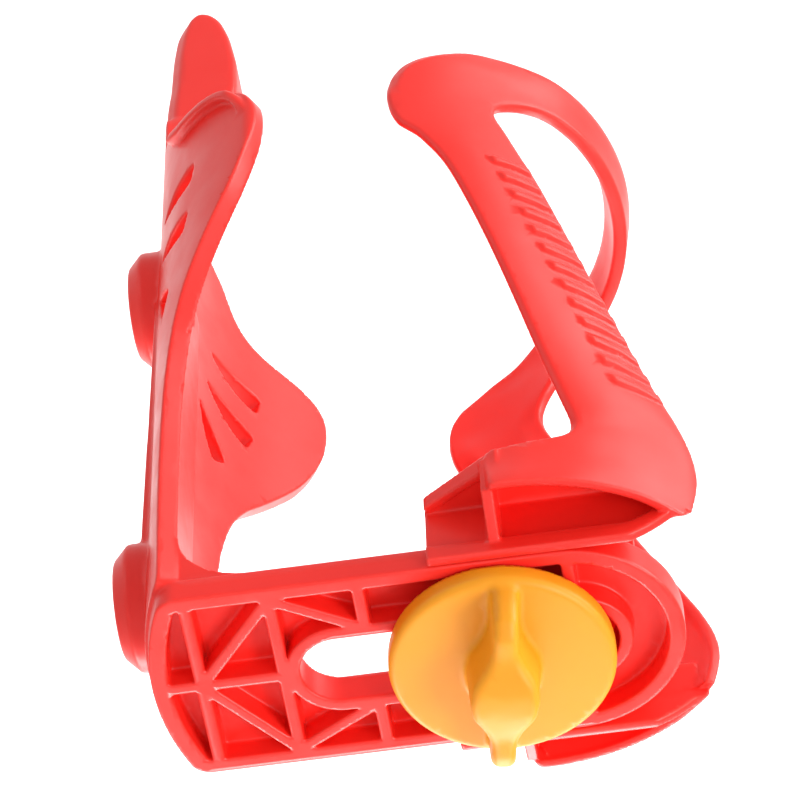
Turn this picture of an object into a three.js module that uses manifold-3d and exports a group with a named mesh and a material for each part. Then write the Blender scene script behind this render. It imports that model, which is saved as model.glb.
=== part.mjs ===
// Adjustable water bottle cage: a rear cage that bolts to the bicycle frame, a front cage that
// slides along its base rail, and a thumb knob on a steel stud that clamps the two together.
// Millimetres. +X points away from the bicycle frame, +Z is the bottle's axis, pointing up.
// The origin is the centre of the lower frame bolt, in the plane the cage is bolted against.
import * as THREE from "three";
import { mergeVertices } from "three/addons/utils/BufferGeometryUtils.js";
import Module from "manifold-3d";

// Back plate: part of a tube round the bottle, standing on the rail.
const PLATE_AXIS_X = 38.6;
const PLATE_R_OUT = 34.5;
const PLATE_R_IN = 31.7;
const LIP_R = 36;
const LIP_T = 1.8;
// Outline of one half of the plate, as [sideways, up], from the rail to the top of the tongue.
const PLATE_OUTLINE = [
  [14.6, -12.6], [13.4, 0], [13.0, 10], [13.1, 20], [13.9, 25], [14.9, 30], [16.2, 35], [19, 40.6],
  [21.9, 44.9], [24, 48.3], [25.6, 51.6], [26.7, 55.4], [27.4, 60], [27.7, 66], [27.4, 69.6],
  [26.7, 72.2], [25.5, 74.6], [23.6, 76.2], [21.2, 77.2], [18.6, 78.2], [16.2, 80], [14.0, 82.8],
  [12.5, 86.4], [11.7, 90.5], [11.2, 94.5], [9.9, 99], [8.0, 102.5],
];
// Tongue: a hollow-fronted hook that takes the groove of the bottle, seen from the side as [x, z].
const TONGUE_PROFILE = [
  [4.8, 92], [4.6, 104], [4.8, 112], [5.1, 121], [5.7, 126.5], [7.0, 130.6], [8.8, 132.2], [10.8, 131.8],
  [12.6, 129.4], [13.9, 124.2], [14.9, 117.5], [15.1, 111], [14.2, 105], [11.8, 99.5], [9.2, 95],
];
const TONGUE_W = 11.6;
// Leaf-shaped slots in each wing: inner point, outer end and width, as [sideways, up].
const LEAVES = [
  { tip: [11.6, 67.4], end: [20.2, 65.0], w: 4.2 },
  { tip: [10.4, 59.6], end: [19.0, 55.4], w: 4.2 },
  { tip: [8.6, 53.0], end: [13.6, 45.2], w: 4.2 },
];
// Frame bolts, on the two standard centres.
const BOLT_PITCH = 64;
const BOLT_HOLE_D = 5.5;
const BOSS_D = 16.8;
const BOSS_FACE_D = 12.8;
const BOSS_CHAMFER = 2;
const BOSS_DEPTH = 7.2;
const SPINE_W = 12;
const SPINE_X = 3.9;

// Base rail.
const RAIL_HALF = 14.6;
const RAIL_BOTTOM = -16.8;
const RAIL_TOP = -12.6;
const RAIL_REAR_R = 34;
const RAIL_WEB = 1.4;
const RAIL_RIM = 2.1;
const RAIL_END_X = 57.4;
const RIB_T = 1.4;
const SLOT_HALF = 5.2;
const SLOT_WALL = 1.7;
const SLOT_X = [28.6, 58.7];
const CROSS_RIB_X = [10.9, 21.4];
const SHORT_RIB_X = [32.6, 58.7];
const FILLET_R = 8;

// Front cage.
const LOOP_AXIS_X = 40.1;
const LOOP_R = 31;
const LOOP_T = 2.4;
const RING_TOP = 77.8;
const RING_T = [1.9, 2.9];
const RING_LEAN = 0.9;
const NOSE_FLARE = 0.9;
const RING_END_DEG = 72;
// Lower edge of the ring: angle from straight ahead and height, dropping to the nose of each arm.
const RING_EDGE = [[0, 70.2], [33, 70], [42, 69.3], [48, 67.8], [53, 65.6], [57, 62], [60, 58], [72, 55]];
const FLOOR_Z = [-7.2, -5.5];
const FLOOR_REAR_X = 41.7;
const FLOOR_FRONT_X = 67;
const GUSSET_X = 51.5;
const SKIRT_IN = 14.9;
const SKIRT_OUT = 15.7;
const BAND_OUT = 16.2;
const BAND_H = 2.4;
const WALL_OUT = 23.2;
const WALL_BOTTOM = -13.2;
const RIB_X = [49.3, 50.9];
// One arm, level by level: height, angle of its rear edge, angle of its front edge, and how far its
// front edge stands from the loop's axis. Angles are measured from straight ahead.
const ARM_LEVELS = [
  [-13.2, 63.8, 22.4, 37.3], [-9.4, 63.8, 22.0, 38.6], [-6.2, 63.8, 21.8, 39.2], [-5.2, 63.4, 21.9, 39.2],
  [-4.6, 51.0, 22.1, 39.2], [-3.6, 46.6, 22.3, 39.2], [-1.6, 45.0, 22.8, 39.0], [0.4, 45.2, 23.5, 38.7],
  [4, 47.8, 24.8, 37.9], [11, 51.8, 28.2, 36.1], [22, 57.8, 35.0, 34.4], [31, 62.8, 41.0, 33.4],
  [40, 68.2, 47.4, 32.7], [49, 73.4, 54.4, 32.1], [52, 77.0, 56.9, 31.8], [55.5, 83.2, 59.6, 31.4],
  [59, 87.2, 60.2, 31.1], [62, 88.6, 59.0, 31], [66, 88.9, 57.0, 31], [69.2, 87.4, 56.0, 31],
  [71.8, 83.8, 54.0, 31], [73.6, 78.4, 53.0, 31], [75.2, 71.4, 52.0, 31],
];
const ARM_BARS = 13;
const BAR_H = 0.45;
const BAR_WIDTH = 1.5;
const BAR_SLANT = 2.6;

// Clamp.
const CLAMP_X = 49;
const KNOB_R = 14.2;
const KNOB_TOP = -17.1;
const KNOB_T = 2.9;
const GRIP_TURN_DEG = 8;
const GRIP_HALF = 13;
const GRIP_BOTTOM = -26.4;
const HUB_BOTTOM = -27.6;
const WASHER_R = 8;
const WASHER_T = 1.2;
const STUD_R = 2.5;
const STUD_TOP = -5.8;
const HEAD_R = 3.7;
const HEAD_T = 5;
const NUT_AF = 8;
const NUT_T = 4;
const NUT_BOTTOM = -10.2;
const NUT_BOSS_R = 7;
const PAD_BOTTOM = -12.3;
const GAP = 0.3;

const wasm = await Module();
wasm.setup();

function solid(geometry) {
  const bare = new THREE.BufferGeometry();
  const loose = geometry.index ? geometry.toNonIndexed() : geometry;
  bare.setAttribute("position", loose.getAttribute("position"));
  const welded = mergeVertices(bare, 1e-4);
  return new wasm.Manifold(new wasm.Mesh({
    numProp: 3,
    vertProperties: welded.attributes.position.array,
    triVerts: new Uint32Array(welded.index.array),
  }));
}

function sum(parts) {
  return parts.reduce((whole, part) => whole.add(part));
}

function box(x, y, z) {
  const g = new THREE.BoxGeometry(x[1] - x[0], y[1] - y[0], z[1] - z[0]);
  g.translate((x[0] + x[1]) / 2, (y[0] + y[1]) / 2, (z[0] + z[1]) / 2);
  return solid(g);
}

// The same box on both sides of the middle plane.
function boxPair(x, y, z) {
  return box(x, y, z).add(box(x, [-y[1], -y[0]], z));
}

function outline(points) {
  return new THREE.Shape(points.map(([a, b]) => new THREE.Vector2(a, b)));
}

// A flat shape in plan, from one height to another.
function planSolid(shape, z, curveSegments = 10) {
  const g = new THREE.ExtrudeGeometry(shape, { depth: z[1] - z[0], bevelEnabled: false, curveSegments });
  return solid(g.translate(0, 0, z[0]));
}

// A flat shape drawn as [sideways, up], pushed forward from one x to another.
function frontSolid(shape, x) {
  const g = new THREE.ExtrudeGeometry(shape, { depth: x[1] - x[0], bevelEnabled: false });
  g.rotateZ(Math.PI / 2);
  g.rotateY(Math.PI / 2);
  return solid(g.translate(x[0], 0, 0));
}

// A flat shape drawn as [x, z], centred on the middle plane, with its edges rounded.
function sideSolid(shape, width, round) {
  const g = new THREE.ExtrudeGeometry(shape, {
    depth: width - 2 * round,
    bevelThickness: round,
    bevelSize: round,
    bevelOffset: -round,
    bevelSegments: 2,
  });
  g.rotateX(Math.PI / 2);
  return solid(g.translate(0, width / 2 - round, 0));
}

// A turned shape about an upright axis; the profile is [radius, height] and closes on itself.
function turned(profile, x, segments = 48) {
  const points = profile.map(([r, z]) => new THREE.Vector2(r, z));
  const g = new THREE.LatheGeometry(points, segments);
  g.rotateX(Math.PI / 2);
  return solid(g.translate(x, 0, 0));
}

function rod(radius, x, z, segments = 32) {
  return turned([[0, z[0]], [radius, z[0]], [radius, z[1]], [0, z[1]]], x, segments);
}

function hexPrism(acrossFlats, x, z) {
  return rod(acrossFlats / Math.sqrt(3), x, z, 6);
}

// A shape turned about a bolt's axis, which runs along +X at the given height.
function alongX(profile, z, segments = 32) {
  const points = profile.map(([r, x]) => new THREE.Vector2(r, x));
  const g = new THREE.LatheGeometry(points, segments);
  g.rotateZ(-Math.PI / 2);
  return solid(g.translate(0, 0, z));
}

// ---- rear cage ----

function plateShape(points) {
  const right = points.map(([y, z]) => [y, z]);
  const left = points.map(([y, z]) => [-y, z]).reverse();
  return outline([...right, ...left]);
}

function tube(rIn, rOut, z, segments = 80) {
  const profile = [[rIn, z[0]], [rOut, z[0]], [rOut, z[1]], [rIn, z[1]], [rIn, z[0]]];
  return turned(profile, PLATE_AXIS_X, segments);
}

function leafShape({ tip, end, w }, side) {
  const along = new THREE.Vector2(end[0] - tip[0], end[1] - tip[1]);
  const across = new THREE.Vector2(-along.y, along.x).normalize().multiplyScalar(w / 2);
  const at = (t, s) => new THREE.Vector2(
    side * (tip[0] + along.x * t + across.x * s),
    tip[1] + along.y * t + across.y * s,
  );
  const shape = new THREE.Shape();
  shape.moveTo(...at(0, 0).toArray());
  shape.quadraticCurveTo(...at(0.45, 0.95).toArray(), ...at(0.95, 0.95).toArray());
  shape.lineTo(...at(1, 0.6).toArray());
  shape.lineTo(...at(1, -0.6).toArray());
  shape.lineTo(...at(0.95, -0.95).toArray());
  shape.quadraticCurveTo(...at(0.45, -0.95).toArray(), ...at(0, 0).toArray());
  return shape;
}

function backPlate() {
  const top = [0, 104];
  const body = frontSolid(plateShape([...PLATE_OUTLINE, top]), [0, 30]);
  const wall = body.intersect(tube(PLATE_R_IN, PLATE_R_OUT, [RAIL_BOTTOM, 110]));
  // The flange along the top edge of both wings stands outwards.
  const upper = PLATE_OUTLINE.filter(([y, z]) => z > 69 && z < 82);
  const lowered = upper.map(([y, z]) => [y - 0.5, z - LIP_T]).reverse();
  const edge = [...upper, ...lowered];
  const band = (side) => frontSolid(outline(edge.map(([y, z]) => [side * y, z])), [0, 30]);
  const lip = band(1).add(band(-1)).intersect(tube(PLATE_R_IN, LIP_R, [60, 110]));
  const leafPair = (leaf) => [1, -1].map((side) => frontSolid(leafShape(leaf, side), [0, 30]));
  const leaves = LEAVES.flatMap(leafPair);
  return sum([wall, lip]).subtract(sum(leaves));
}

function rootFillet() {
  const arc = new THREE.Path();
  const inner = PLATE_R_IN - FILLET_R;
  arc.absarc(inner, RAIL_TOP + FILLET_R, FILLET_R, 0, -Math.PI / 2, true);
  const curve = arc.getPoints(6).map((p) => [p.x, p.y]);
  const low = RAIL_TOP - 0.8;
  const base = [[inner, low], [PLATE_R_IN + 0.6, low], [PLATE_R_IN + 0.6, RAIL_TOP + FILLET_R]];
  const ring = turned([...base, ...curve, base[0]], PLATE_AXIS_X, 80);
  return ring.intersect(box([0, 30], [-13.6, 13.6], [-20, 0]));
}

function boss(z) {
  const face = BOSS_FACE_D / 2;
  const full = BOSS_D / 2;
  return alongX([[0, 0], [face, 0], [full, BOSS_CHAMFER], [full, BOSS_DEPTH], [0, BOSS_DEPTH]], z, 40);
}

function railPlan(half, rearR, endR) {
  const shape = new THREE.Shape();
  const corner = Math.asin(half / rearR);
  shape.absarc(RAIL_END_X, 0, endR, -Math.PI / 2, Math.PI / 2, false);
  shape.absarc(PLATE_AXIS_X, 0, rearR, Math.PI - corner, Math.PI + corner, false);
  shape.closePath();
  return shape;
}

function slotPlan(half) {
  const shape = new THREE.Shape();
  shape.absarc(SLOT_X[1], 0, half, -Math.PI / 2, Math.PI / 2, false);
  shape.absarc(SLOT_X[0], 0, half, Math.PI / 2, 1.5 * Math.PI, false);
  shape.closePath();
  return shape;
}

// A straight rib in plan between two points.
function rib(a, b, z) {
  const from = new THREE.Vector2(...a);
  const to = new THREE.Vector2(...b);
  const side = to.clone().sub(from).normalize().rotateAround(new THREE.Vector2(), Math.PI / 2);
  side.multiplyScalar(RIB_T / 2);
  const corners = [from.clone().sub(side), to.clone().sub(side), to.clone().add(side)];
  corners.push(from.clone().add(side));
  return planSolid(new THREE.Shape(corners), z);
}

function rail() {
  const pocketZ = [RAIL_BOTTOM - 1, RAIL_TOP - RAIL_WEB];
  const ribZ = [RAIL_BOTTOM, RAIL_TOP - 0.5];
  const block = planSolid(railPlan(RAIL_HALF, RAIL_REAR_R, RAIL_HALF), [RAIL_BOTTOM, RAIL_TOP], 18);
  const inner = RAIL_HALF - RAIL_RIM;
  const pocket = planSolid(railPlan(inner, PLATE_R_IN, inner), pocketZ, 18);
  const slotWall = planSolid(slotPlan(SLOT_HALF + SLOT_WALL), ribZ, 14);
  const wallEdge = SLOT_HALF + SLOT_WALL - 0.5;
  const [first, second] = CROSS_RIB_X;
  const ribs = CROSS_RIB_X.map((x) => rib([x, -inner - 0.4], [x, inner + 0.4], ribZ));
  ribs.push(rib([6.5, 0], [SLOT_X[0] - SLOT_HALF - 0.5, 0], ribZ));
  for (const side of [-1, 1]) {
    ribs.push(rib([first + 0.2, 0], [second, side * inner], ribZ));
    ribs.push(rib([second, side * inner], [SHORT_RIB_X[0] - 0.3, side * wallEdge], ribZ));
    ribs.push(...SHORT_RIB_X.map((x) => rib([x, side * wallEdge], [x, side * (inner + 0.3)], ribZ)));
  }
  const slot = planSolid(slotPlan(SLOT_HALF), [RAIL_BOTTOM - 1, RAIL_TOP + 1], 14);
  return sum([block.subtract(pocket), slotWall, ...ribs]).subtract(slot);
}

function rearCage() {
  const spine = box([SPINE_X, 8], [-SPINE_W / 2, SPINE_W / 2], [-4, BOLT_PITCH + 4]);
  const tongue = sideSolid(outline(TONGUE_PROFILE), TONGUE_W, 1.2);
  const solids = [backPlate(), spine, tongue, rail(), rootFillet(), boss(0), boss(BOLT_PITCH)];
  const bore = [[0, -1], [BOLT_HOLE_D / 2, -1], [BOLT_HOLE_D / 2, 12], [0, 12]];
  return sum(solids).subtract(alongX(bore, 0)).subtract(alongX(bore, BOLT_PITCH));
}

// ---- front cage ----

// Reads the values of a table's row at any place along its first column.
function tableAt(table, at) {
  const last = table.length - 1;
  const found = table.findIndex((row, i) => i < last && at <= table[i + 1][0]);
  const i = found < 0 ? last - 1 : found;
  const [low, high] = [table[i], table[i + 1]];
  const t = THREE.MathUtils.clamp((at - low[0]) / (high[0] - low[0]), 0, 1);
  return low.slice(1).map((value, k) => THREE.MathUtils.lerp(value, high[k + 1], t));
}

// How far the loop's outer face stands from its axis.
function loopRadius(deg, z) {
  const [rear, front, reach] = tableAt(ARM_LEVELS, z);
  const swing = z < -3 ? 46.4 : rear;
  const t = Math.min((swing - deg) / (swing - front), 1);
  return LOOP_R + (reach - LOOP_R) * t + NOSE_FLARE * THREE.MathUtils.smoothstep(deg, 50, 88);
}

function loopPoint(side, deg, z, depth) {
  const r = loopRadius(deg, z) - depth;
  const a = THREE.MathUtils.degToRad(deg);
  return new THREE.Vector3(LOOP_AXIS_X + r * Math.cos(a), side * r * Math.sin(a), z);
}

// How much of the full thickness is left near a rounded edge, t running from 0 to 1 across the band.
function edgeThickness(t, soft) {
  const d = Math.min(t, 1 - t) / soft;
  return d >= 1 ? 1 : 0.55 + 0.45 * Math.sqrt(1 - (1 - d) ** 2);
}

// A thin wall made from a box whose three directions are across, up and through the wall.
function bentWall(acrossCount, upCount, place) {
  const g = new THREE.BoxGeometry(1, 1, 1, acrossCount, upCount, 1);
  const position = g.getAttribute("position");
  for (let i = 0; i < position.count; i++) {
    const p = place(position.getX(i) + 0.5, position.getY(i) + 0.5, position.getZ(i) + 0.5);
    position.setXYZ(i, p.x, p.y, p.z);
  }
  return solid(g);
}

const SPREAD = [0, 0.05, 0.13, 0.37, 0.63, 0.87, 0.95, 1];

function arm(side) {
  const rows = ARM_LEVELS.length - 1;
  return bentWall(SPREAD.length - 1, rows, (u, v, w) => {
    const across = SPREAD[Math.round(u * (SPREAD.length - 1))];
    const z = ARM_LEVELS[Math.round(v * rows)][0];
    const [rear, front] = tableAt(ARM_LEVELS, z);
    const deg = THREE.MathUtils.lerp(front, rear, side > 0 ? across : 1 - across);
    const left = edgeThickness(across, 0.13);
    return loopPoint(side, deg, z, LOOP_T * (0.5 + (0.5 - w) * left));
  });
}

// The strip that joins the two noses round the front, leaning in towards its lower edge.
function ring() {
  const heights = [0, 0.1, 0.25, 0.75, 0.9, 1];
  const steps = 40;
  return bentWall(steps, heights.length - 1, (u, v, w) => {
    const deg = THREE.MathUtils.lerp(-RING_END_DEG, RING_END_DEG, u);
    const t = heights[Math.round(v * (heights.length - 1))];
    const low = tableAt(RING_EDGE, Math.abs(deg))[0];
    const top = RING_TOP - 3.2 * THREE.MathUtils.smoothstep(Math.abs(deg), 48, 76);
    const flare = (NOSE_FLARE + RING_LEAN) * THREE.MathUtils.smoothstep(Math.abs(deg), 46, 84);
    const lean = RING_LEAN * (1 - t);
    const thick = THREE.MathUtils.lerp(...RING_T, t);
    const r = LOOP_R + flare * (1 - t * 0.5) - lean - thick * (0.5 + (0.5 - w) * edgeThickness(t, 0.25));
    const a = THREE.MathUtils.degToRad(deg);
    const z = THREE.MathUtils.lerp(low, top, t);
    return new THREE.Vector3(LOOP_AXIS_X + r * Math.cos(a), r * Math.sin(a), z);
  });
}

// Raised slanted bars along the front half of each arm, for grip.
function armBars(side) {
  const bars = [];
  for (let i = 0; i < ARM_BARS; i++) {
    const low = THREE.MathUtils.lerp(8, 50, i / (ARM_BARS - 1));
    bars.push(bentWall(2, 1, (u, v, w) => {
      const across = side > 0 ? 1 - u : u;
      const z = low + BAR_SLANT * across + BAR_WIDTH * v;
      const [rear, front] = tableAt(ARM_LEVELS, z);
      const deg = THREE.MathUtils.lerp(rear, front, THREE.MathUtils.lerp(0.5, 0.86, across));
      return loopPoint(side, deg, z, w > 0.5 ? -BAR_H : 0.8);
    }));
  }
  return sum(bars);
}

function floorShape() {
  const wall = [];
  for (let deg = 60; deg >= 24; deg -= 6) {
    const p = loopPoint(1, deg, -7, 0.8);
    wall.push([p.x, p.y]);
  }
  const half = [[FLOOR_FRONT_X, 0], [FLOOR_FRONT_X, 11], [69.4, 13.6], ...wall.reverse()];
  half.push([GUSSET_X, WALL_OUT - 0.3], [FLOOR_REAR_X, BAND_OUT]);
  return outline([...half.map(([x, y]) => [x, -y]), ...half.slice(1).reverse()].reverse());
}

// The lower edge of the side skirt, seen from the side as [x, z], rises towards the front corner.
const SKIRT_FRONT_X = 72.6;
const SKIRT_EDGE = [
  [FLOOR_REAR_X, -16.8], [67, -16.8], [69.2, -15.6], [70.9, -14.4], [SKIRT_FRONT_X, -12.9],
];

// A strip of skirt on both sides, from the lower edge up to the given upper edge.
function skirtPair(y, upper) {
  const g = new THREE.ExtrudeGeometry(outline([...SKIRT_EDGE, ...upper]), {
    depth: y[1] - y[0],
    bevelEnabled: false,
  });
  g.rotateX(Math.PI / 2);
  const right = solid(g.translate(0, y[1], 0));
  return right.add(right.mirror([0, 1, 0]));
}

function frontCage() {
  const [floorLow, floorTop] = FLOOR_Z;
  const floor = planSolid(floorShape(), FLOOR_Z);
  const skirtTop = [[SKIRT_FRONT_X, floorLow + 0.5], [FLOOR_REAR_X, floorLow + 0.5]];
  const skirts = skirtPair([SKIRT_IN, SKIRT_OUT], skirtTop);
  const bandTop = SKIRT_EDGE.map(([x, z]) => [x, z + BAND_H]).reverse();
  const bands = skirtPair([SKIRT_IN, BAND_OUT], bandTop);
  const ribProfile = [
    [SKIRT_IN + 0.2, RAIL_BOTTOM + 1.6], [WALL_OUT - 0.6, WALL_BOTTOM],
    [WALL_OUT - 0.6, floorLow + 0.5], [SKIRT_IN + 0.2, floorLow + 0.5],
  ];
  const rightRib = frontSolid(outline(ribProfile), RIB_X);
  const ribs = rightRib.add(rightRib.mirror([0, 1, 0]));
  const pads = boxPair([FLOOR_REAR_X + 1, 66], [9.6, 11.2], [PAD_BOTTOM, floorLow + 0.5]);
  const nutBoss = rod(NUT_BOSS_R, CLAMP_X, [PAD_BOTTOM, floorTop], 40);
  const nutPocket = hexPrism(NUT_AF + 2 * GAP, CLAMP_X, [NUT_BOTTOM - GAP, floorTop + 1]);
  const studHole = rod(STUD_R + GAP, CLAMP_X, [PAD_BOTTOM - 1, floorTop + 1]);
  const bars = [1, -1].map(armBars);
  const railRun = box([FLOOR_REAR_X - 1, 80], [-SKIRT_IN, SKIRT_IN], [RAIL_BOTTOM - 1, RAIL_TOP + GAP]);
  return sum([arm(1), arm(-1), ring(), floor, skirts, bands, ribs, pads, nutBoss, ...bars])
    .subtract(railRun).subtract(nutPocket).subtract(studHole);
}

// ---- clamp ----

function knob() {
  const face = KNOB_TOP - KNOB_T;
  const disc = turned([
    [0, KNOB_TOP], [0, face], [KNOB_R - 1.1, face], [KNOB_R - 0.3, face + 0.4], [KNOB_R, face + 1.1],
    [KNOB_R, KNOB_TOP - 0.4], [KNOB_R - 0.4, KNOB_TOP], [0, KNOB_TOP],
  ], CLAMP_X, 56);
  const waist = [[1.0, GRIP_HALF], [1.5, 12.2], [1.7, 8.5], [2.3, 6.2], [3.6, 4.2], [4.6, 2.4], [4.9, 0]];
  const back = waist.slice(0, -1).reverse().map(([x, y]) => [x, -y]);
  const half = [...waist, ...back];
  const plan = [...half, ...half.map(([x, y]) => [-x, -y])].reverse();
  const column = planSolid(outline(plan), [HUB_BOTTOM - 1, face + 0.5]).translate([CLAMP_X, 0, 0]);
  const crown = [
    [-GRIP_HALF, face + 1], [-GRIP_HALF, GRIP_BOTTOM + 2], [-GRIP_HALF + 0.7, GRIP_BOTTOM + 0.6],
    [-GRIP_HALF + 2.2, GRIP_BOTTOM], [-8, GRIP_BOTTOM - 0.1], [-5, HUB_BOTTOM + 0.5], [-2.4, HUB_BOTTOM],
  ];
  const side = outline([...crown, ...crown.map(([y, z]) => [-y, z]).reverse()].reverse());
  const grip = column.intersect(frontSolid(side, [CLAMP_X - 8, CLAMP_X + 8]));
  const turn = grip.translate([-CLAMP_X, 0, 0]).rotate([0, 0, GRIP_TURN_DEG]).translate([CLAMP_X, 0, 0]);
  const recess = rod(WASHER_R + GAP, CLAMP_X, [KNOB_TOP - WASHER_T - GAP, KNOB_TOP + 1], 40);
  const headFloor = KNOB_TOP - WASHER_T - GAP - HEAD_T - GAP;
  return disc.add(turn).subtract(recess).subtract(rod(HEAD_R + GAP, CLAMP_X, [headFloor, KNOB_TOP], 24));
}

function washer() {
  const z = [KNOB_TOP - WASHER_T, KNOB_TOP];
  return rod(WASHER_R, CLAMP_X, z, 40).subtract(rod(STUD_R + GAP, CLAMP_X, [z[0] - 1, z[1] + 1]));
}

function stud() {
  const headTop = KNOB_TOP - WASHER_T - GAP;
  const head = rod(HEAD_R, CLAMP_X, [headTop - HEAD_T, headTop], 24);
  const shank = [
    [0, headTop - 1], [STUD_R, headTop - 1], [STUD_R, STUD_TOP - 0.7],
    [STUD_R - 0.7, STUD_TOP], [0, STUD_TOP],
  ];
  return head.add(turned(shank, CLAMP_X, 24));
}

function nut() {
  const z = [NUT_BOTTOM, NUT_BOTTOM + NUT_T];
  return hexPrism(NUT_AF, CLAMP_X, z).subtract(rod(STUD_R + GAP, CLAMP_X, [z[0] - 1, z[1] + 1]));
}

const plastic = (color, roughness) => new THREE.MeshStandardMaterial({ color, roughness, metalness: 0 });
const steel = (color) => new THREE.MeshStandardMaterial({ color, roughness: 0.35, metalness: 1 });

function mesh(name, made, material) {
  const { vertProperties, triVerts } = made.getMesh();
  const g = new THREE.BufferGeometry();
  g.setAttribute("position", new THREE.BufferAttribute(new Float32Array(vertProperties), 3));
  g.setIndex(new THREE.BufferAttribute(new Uint32Array(triVerts), 1));
  g.computeVertexNormals();
  const m = new THREE.Mesh(g, material);
  m.name = name;
  return m;
}

const cage = new THREE.Group();
cage.name = "water_bottle_cage";
cage.add(mesh("rear_cage", rearCage(), plastic(0xe8372f, 0.35)));
cage.add(mesh("front_cage", frontCage(), plastic(0xe8372f, 0.35)));
cage.add(mesh("knob", knob(), plastic(0xf7b733, 0.45)));
cage.add(mesh("washer", washer(), steel(0xb8bcc2)));
cage.add(mesh("stud", stud(), steel(0xa9adb3)));
cage.add(mesh("nut", nut(), steel(0xb8bcc2)));
export default cage;
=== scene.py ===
"""Looks for the adjustable water bottle cage.

The two red mouldings and the thumb knob are built here as smooth, rounded bodies and replace their
CAD nodes. The steel pieces keep their CAD shapes. Lengths in the shape code are millimetres in the
part's own frame: X away from the bicycle's tube, Z up, origin at the lower frame bolt.
"""
import math

import bpy
import numpy as np
import openvdb
from mathutils import Matrix, Vector


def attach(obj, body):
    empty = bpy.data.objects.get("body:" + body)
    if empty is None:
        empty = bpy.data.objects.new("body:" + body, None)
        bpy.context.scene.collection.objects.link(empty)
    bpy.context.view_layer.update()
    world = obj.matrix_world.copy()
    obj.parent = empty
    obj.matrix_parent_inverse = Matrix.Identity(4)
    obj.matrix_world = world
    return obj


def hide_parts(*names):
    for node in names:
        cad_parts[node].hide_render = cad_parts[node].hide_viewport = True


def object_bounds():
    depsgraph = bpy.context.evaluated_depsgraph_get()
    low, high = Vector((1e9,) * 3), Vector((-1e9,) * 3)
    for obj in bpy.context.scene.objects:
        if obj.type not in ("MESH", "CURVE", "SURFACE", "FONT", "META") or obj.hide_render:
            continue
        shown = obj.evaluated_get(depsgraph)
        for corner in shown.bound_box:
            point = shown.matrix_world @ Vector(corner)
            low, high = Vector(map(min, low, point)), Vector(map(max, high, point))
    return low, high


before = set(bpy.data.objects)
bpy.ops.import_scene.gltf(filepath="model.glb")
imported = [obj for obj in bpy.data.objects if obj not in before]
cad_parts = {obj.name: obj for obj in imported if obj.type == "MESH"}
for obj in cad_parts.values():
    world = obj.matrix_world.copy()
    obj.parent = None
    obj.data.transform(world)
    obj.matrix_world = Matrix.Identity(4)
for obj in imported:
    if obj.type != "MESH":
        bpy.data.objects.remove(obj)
cad_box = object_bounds()
MM = 0.001

# ---- camera: below the cage, looking up at its near side ----

VIEW_AZIMUTH, VIEW_ELEVATION, VIEW_ROLL = 6.83, -52.0, -1.96
VIEW_LENS, VIEW_SENSOR = 185.6, 36.0
# The rail's lower rear corner, and how far right of, below and in front of the lens it lies.
VIEW_ANCHOR = (1.85, 0.0, -16.83)
VIEW_SHIFT = (-33.88, 37.37, 519.67)


def view_axes(azimuth, elevation, roll):
    """The camera's right, down and forward directions."""
    a, e, r = (math.radians(v) for v in (azimuth, elevation, roll))
    back = Vector((math.sin(a) * math.cos(e), -math.cos(a) * math.cos(e), math.sin(e)))
    right = Vector((math.cos(a), math.sin(a), 0))
    down = -back.cross(right)
    turned_right = right * math.cos(r) - down * math.sin(r)
    turned_down = right * math.sin(r) + down * math.cos(r)
    return turned_right, turned_down, -back


right, down, forward = view_axes(VIEW_AZIMUTH, VIEW_ELEVATION, VIEW_ROLL)
offset = right * VIEW_SHIFT[0] + down * VIEW_SHIFT[1] + forward * VIEW_SHIFT[2]
camera = bpy.data.objects.new("camera", bpy.data.cameras.new("camera"))
camera.data.lens = VIEW_LENS
camera.data.sensor_width = VIEW_SENSOR
camera.data.clip_start, camera.data.clip_end = 0.05, 20
place = Matrix((right, -down, -forward)).transposed().to_4x4()
place.translation = (Vector(VIEW_ANCHOR) - offset) * MM
camera.matrix_world = place
bpy.context.scene.collection.objects.link(camera)
bpy.context.scene.camera = camera

# ---- signed distances: below zero inside the material ----


def join(a, b, fillet):
    """Both bodies, with a round fillet where they meet."""
    far = np.sqrt(np.maximum(fillet - a, 0) ** 2 + np.maximum(fillet - b, 0) ** 2)
    return np.maximum(fillet, np.minimum(a, b)) - far


def meet(a, b, rounding):
    """What two bodies have in common, with the new edge rounded."""
    return -join(-a, -b, rounding)


def between(ends, value):
    """Distance along one axis to a span."""
    return np.abs(value - sum(ends) / 2) - (ends[1] - ends[0]) / 2


def smooth(low, high, value):
    """Rises from 0 at low to 1 at high."""
    t = np.clip((value - low) / (high - low), 0, 1)
    return t * t * (3 - 2 * t)


def inside_outline(points, u, v):
    """Distance in a plane to a closed outline."""
    points = np.asarray(points, float)
    nearest = np.full(np.broadcast(u, v).shape, 1e9)
    inside = np.zeros(nearest.shape, bool)
    for (au, av), (bu, bv) in zip(points, np.roll(points, -1, axis=0)):
        eu, ev = bu - au, bv - av
        t = np.clip(((u - au) * eu + (v - av) * ev) / (eu * eu + ev * ev + 1e-12), 0, 1)
        nearest = np.minimum(nearest, (u - au - eu * t) ** 2 + (v - av - ev * t) ** 2)
        if av != bv:
            inside ^= ((av > v) != (bv > v)) & (u < au + eu * (v - av) / ev)
    return np.sqrt(nearest) * np.where(inside, -1, 1)


def near_line(points, u, v):
    """Distance in a plane to an open line of straight pieces."""
    nearest = np.full(np.broadcast(u, v).shape, 1e9)
    for (au, av), (bu, bv) in zip(points[:-1], points[1:]):
        eu, ev = bu - au, bv - av
        t = np.clip(((u - au) * eu + (v - av) * ev) / (eu * eu + ev * ev), 0, 1)
        nearest = np.minimum(nearest, (u - au - eu * t) ** 2 + (v - av - ev * t) ** 2)
    return np.sqrt(nearest)


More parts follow.
